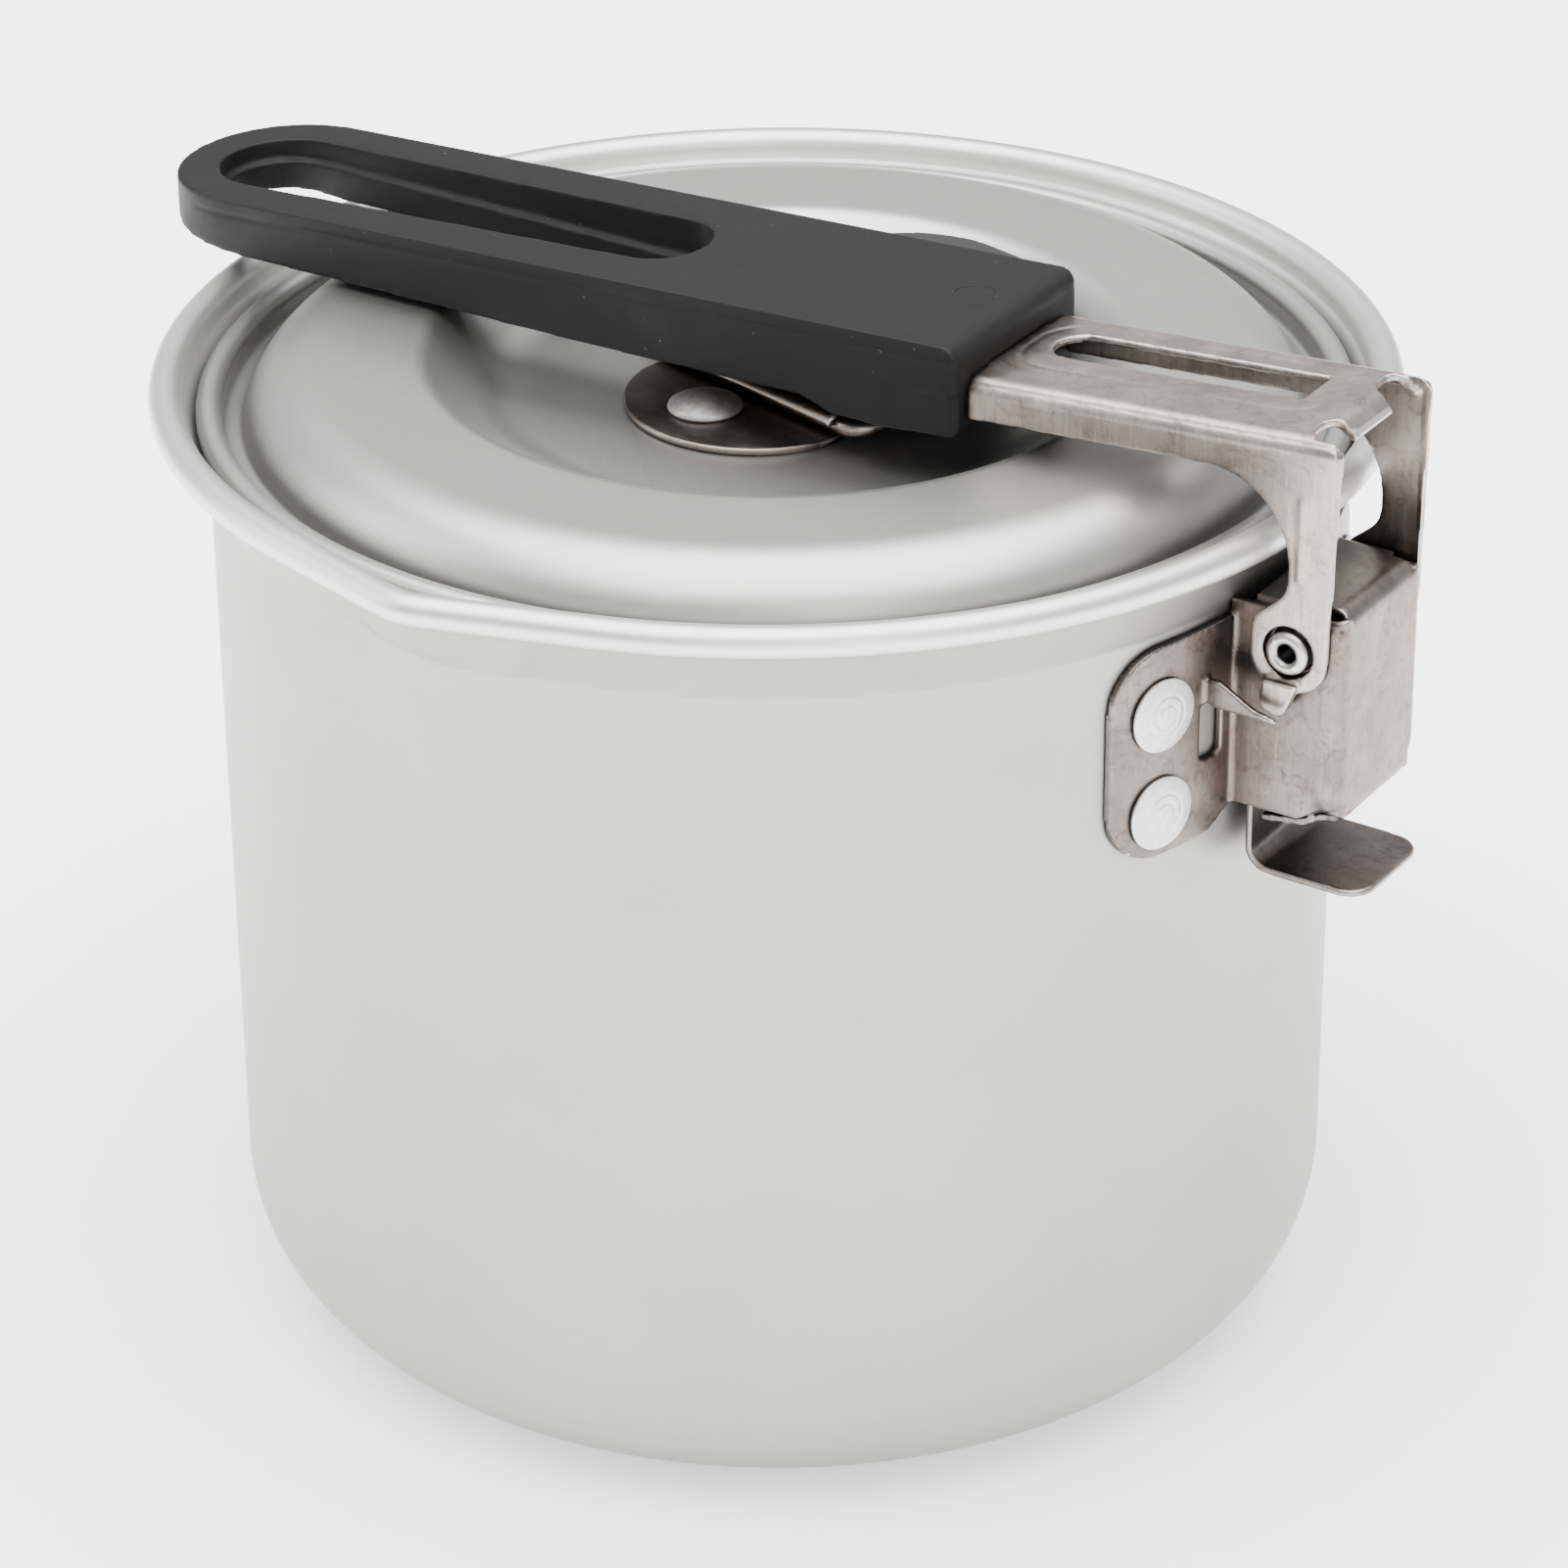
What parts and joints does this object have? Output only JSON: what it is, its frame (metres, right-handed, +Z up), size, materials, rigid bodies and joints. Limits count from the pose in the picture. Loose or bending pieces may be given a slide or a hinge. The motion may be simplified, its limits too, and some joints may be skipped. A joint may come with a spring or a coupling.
{
  "type": "camping cooking pot with folding handle",
  "caption": "Deep aluminium camping pot with rolled rim and pouring spout, inset lid with fold-flat knob, and a folding steel handle with rubber grip on a riveted bracket.",
  "frame": {"origin": "centre of the pot's base, on the surface it stands on", "axes": "+Z up, +X towards the handle bracket and its hinge, -Y towards the pouring spout"},
  "size_m": [0.1738, 0.1555, 0.1376],
  "materials": {
    "anodised_aluminium": "matt anodised",
    "rivet_aluminium": "as headed, matt",
    "stainless_sheet": "mill finish, lightly scratched",
    "grip_rubber": "matt",
    "knob_plastic": "matt"
  },
  "bodies": {
    "pot": {"pot_shell": "anodised_aluminium", "bracket": "stainless_sheet", "bracket_rivet_1": "rivet_aluminium", "bracket_rivet_2": "rivet_aluminium", "bracket_rivet_3": "rivet_aluminium", "bracket_rivet_4": "rivet_aluminium", "pivot_tube": "stainless_sheet", "lever_spring": "stainless_sheet"},
    "lock_lever": {"lock_lever": "stainless_sheet"},
    "handle": {"handle_frame": "stainless_sheet", "handle_grip": "grip_rubber"},
    "lid": {"lid_shell": "anodised_aluminium", "knob_plate": "stainless_sheet", "lid_rivet": "stainless_sheet"},
    "knob": {"knob_wire": "stainless_sheet", "knob_grip": "knob_plastic"}
  },
  "joints": [
    {"name": "handle_pivot", "type": "hinge", "parent": "pot", "child": "handle", "pos_m": [0.0774, 0, 0.109], "axis": [0, 1, 0], "range_deg": [0, 178]},
    {"name": "lock_lever_hinge", "type": "hinge", "parent": "pot", "child": "lock_lever", "pos_m": [0.0774, 0, 0.109], "axis": [0, 1, 0], "range_deg": [0, 1.6], "stiffness_Nm_per_rad": 0.5, "springref_deg": -1.15},
    {"name": "lid_lift", "type": "slide", "parent": "pot", "child": "lid", "axis": [0, 0, 1], "range_m": [0, 0.06]},
    {"name": "knob_flip", "type": "hinge", "parent": "lid", "child": "knob", "pos_m": [-0.0002, -0.005, 0.12168], "axis": [0.9659, -0.2588, 0], "range_deg": [0, 90]}
  ],
  "couplings": [
    {"joint": "lid_lift", "follows": "handle_pivot", "m_per_rad": 0.019},
    {"joint": "knob_flip", "follows": "handle_pivot", "ratio": 0.5}
  ]
}
